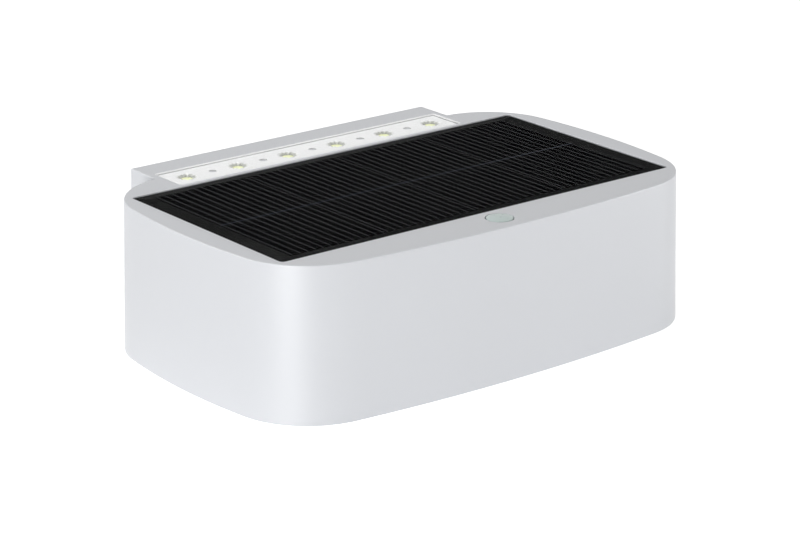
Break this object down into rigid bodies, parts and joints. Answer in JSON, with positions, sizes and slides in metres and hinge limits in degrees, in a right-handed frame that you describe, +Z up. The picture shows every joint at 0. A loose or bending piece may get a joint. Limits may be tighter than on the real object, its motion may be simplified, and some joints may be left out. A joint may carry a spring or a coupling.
{
  "type": "fence light",
  "caption": "Solar fence light: bowed white housing with a solar panel on its deck, a strip of lights behind a clear window along the fence side, and a push button.",
  "frame": {"origin": "middle of the lamp's footprint, on the plane of its lower rim", "axes": "+X along the fence, +Y towards the fence, +Z up through the panel"},
  "size_m": [0.124, 0.088, 0.0359],
  "materials": {
    "battery_wrap": "blue shrink sleeve",
    "board_green": "green solder mask",
    "board_white": "white solder mask",
    "bracket_white": "matt moulded plastic",
    "button_clear": "translucent pale green plastic",
    "capacitor_can": "plain can",
    "component_black": "black moulding",
    "connector_white": "natural nylon",
    "contact_steel": "nickel-plated spring steel",
    "cover_white": "matt moulded plastic",
    "housing_white": "satin moulded plastic, fine spark texture",
    "lead_black": "black insulation",
    "lead_red": "red insulation",
    "package_white": "white moulding",
    "panel_black": "black solder mask",
    "panel_clear": "clear laminate",
    "phosphor_yellow": "yellow-green phosphor gel",
    "plunger_black": "black moulding",
    "reflector_white": "polished white plastic",
    "screw_steel": "zinc-plated steel",
    "seal_grey": "grey silicone",
    "solar_silicon": "dark silicon with fine grid lines",
    "tape_black": "foam tape",
    "window_clear": "clear polished plastic"
  },
  "bodies": {
    "lamp": {"base_cover": "cover_white", "base_gasket": "seal_grey", "base_screws": "screw_steel", "battery_cell": "battery_wrap", "battery_holder": "component_black", "battery_lead_black": "lead_black", "battery_lead_red": "lead_red", "battery_plug": "connector_white", "battery_socket": "connector_white", "board_screws": "screw_steel", "button_seal": "seal_grey", "capacitor": "capacitor_can", "charge_chip": "component_black", "contact_minus": "contact_steel", "contact_plus": "contact_steel", "housing": "housing_white", "inductor": "component_black", "light_board": "board_white", "light_lead_black": "lead_black", "light_lead_red": "lead_red", "light_package_1": "package_white", "light_package_2": "package_white", "light_package_3": "package_white", "light_package_4": "package_white", "light_package_5": "package_white", "light_package_6": "package_white", "light_plug": "connector_white", "light_socket": "connector_white", "light_window": "window_clear", "lock_screw": "screw_steel", "main_board": "board_green", "panel_board": "panel_black", "panel_cover": "panel_clear", "panel_lead_black": "lead_black", "panel_lead_red": "lead_red", "panel_plug": "connector_white", "panel_socket": "connector_white", "panel_tape": "tape_black", "phosphor_1": "phosphor_yellow", "phosphor_2": "phosphor_yellow", "phosphor_3": "phosphor_yellow", "phosphor_4": "phosphor_yellow", "phosphor_5": "phosphor_yellow", "phosphor_6": "phosphor_yellow", "reflector": "reflector_white", "solar_cell_1": "solar_silicon", "solar_cell_2": "solar_silicon", "solar_cell_3": "solar_silicon", "solar_cell_4": "solar_silicon", "switch_body": "component_black", "wall_bracket": "bracket_white", "window_seal": "seal_grey"},
    "button": {"button_cap": "button_clear", "switch_plunger": "plunger_black"}
  },
  "joints": [
    {"name": "button_press", "type": "slide", "parent": "lamp", "child": "button", "axis": [0, 0, -1], "range_m": [0, 0.0005], "stiffness_N_per_m": 3000, "springref_m": -0.0001}
  ]
}
